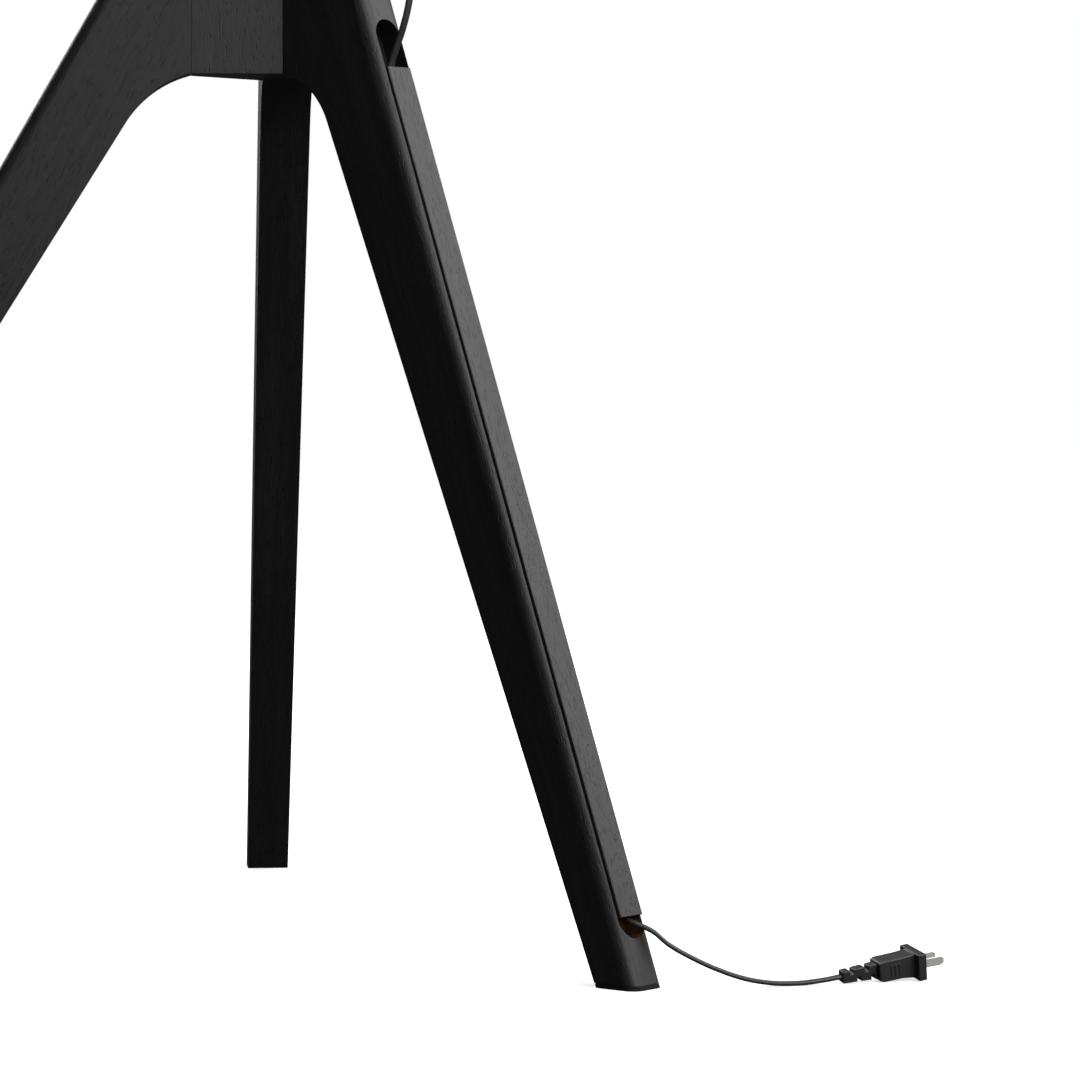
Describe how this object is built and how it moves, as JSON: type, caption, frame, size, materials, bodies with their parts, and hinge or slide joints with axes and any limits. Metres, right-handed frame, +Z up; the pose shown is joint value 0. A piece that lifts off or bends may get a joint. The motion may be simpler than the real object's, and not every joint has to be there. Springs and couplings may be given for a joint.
{
  "type": "tripod floor stand",
  "caption": "Three-legged wooden floor stand with a telescoping mast, a swivelling and tilting mounting plate, and a power cord in a covered channel down the rear leg.",
  "frame": {"origin": "on the floor, under the middle of the stand's bounding box without the free cord and plug, on the mast's axis", "axes": "+Z up, -Y towards the front, where the display faces, +Y towards the rear leg, +X to the right of the stand"},
  "size_m": [0.7886, 0.8574, 1.2979],
  "materials": {
    "black_wood": "black-stained solid wood, satin, grain and small pores showing",
    "raw_wood": "turned beech, unfinished",
    "black_rubber": "matt black rubber",
    "black_steel": "black powder coat, fine texture",
    "bare_steel": "zinc-plated or brushed steel",
    "black_plastic": "moulded black nylon, fine texture",
    "white_nylon": "natural nylon",
    "cord_pvc": "charcoal PVC, satin",
    "nickel": "nickel-plated brass, polished"
  },
  "bodies": {
    "stand": {"hub_block": "black_wood", "front_right_leg": "black_wood", "front_left_leg": "black_wood", "rear_leg": "black_wood", "front_right_foot_pad": "black_rubber", "front_left_foot_pad": "black_rubber", "rear_foot_pad": "black_rubber", "cord_grommet": "black_rubber", "front_right_dowel_1": "raw_wood", "front_right_dowel_2": "raw_wood", "front_right_dowel_3": "raw_wood", "front_left_dowel_1": "raw_wood", "front_left_dowel_2": "raw_wood", "front_left_dowel_3": "raw_wood", "rear_dowel_1": "raw_wood", "rear_dowel_2": "raw_wood", "rear_dowel_3": "raw_wood", "cover_clip_1": "bare_steel", "cover_clip_screw_1": "bare_steel", "cover_clip_2": "bare_steel", "cover_clip_screw_2": "bare_steel", "cover_clip_3": "bare_steel", "cover_clip_screw_3": "bare_steel", "mast_flange": "black_steel", "outer_mast_tube": "black_steel", "mast_flange_screw_1": "bare_steel", "mast_flange_screw_2": "bare_steel", "mast_flange_screw_3": "bare_steel", "mast_flange_screw_4": "bare_steel", "mast_collar": "black_plastic", "mast_guide_bush": "white_nylon", "power_cord": "cord_pvc", "plug_strain_relief": "cord_pvc", "plug_body": "cord_pvc", "plug_blade_1": "nickel", "plug_blade_2": "nickel"},
    "cover": {"cable_cover": "black_wood"},
    "inner_mast": {"inner_mast_tube": "bare_steel", "inner_mast_foot_bush": "white_nylon"},
    "clamp": {"clamp_screw": "bare_steel", "clamp_knob": "black_plastic"},
    "head": {"swivel_head": "black_steel"},
    "plate": {"tilt_bracket": "black_steel", "mounting_plate": "black_steel", "tilt_bolt": "bare_steel", "tilt_nut": "bare_steel", "bracket_rivet_1": "bare_steel", "bracket_rivet_2": "bare_steel", "bracket_rivet_3": "bare_steel", "bracket_rivet_4": "bare_steel"}
  },
  "joints": [
    {"name": "cover_lift_off", "type": "slide", "parent": "stand", "child": "cover", "axis": [0, 0.9414, 0.3374], "range_m": [0, 0.115]},
    {"name": "mast_height", "type": "slide", "parent": "stand", "child": "inner_mast", "axis": [0, 0, 1], "range_m": [0, 0.08]},
    {"name": "clamp_turn", "type": "hinge", "parent": "stand", "child": "clamp", "pos_m": [0.026, 0, 1.022], "axis": [1, 0, 0], "range_deg": [0, 270]},
    {"name": "head_swivel", "type": "hinge", "parent": "inner_mast", "child": "head", "pos_m": [0, 0, 1.18], "axis": [0, 0, 1], "range_deg": [-45, 45]},
    {"name": "plate_tilt", "type": "hinge", "parent": "head", "child": "plate", "pos_m": [0, -0.04, 1.18], "axis": [1, 0, 0], "range_deg": [-5, 15]}
  ]
}
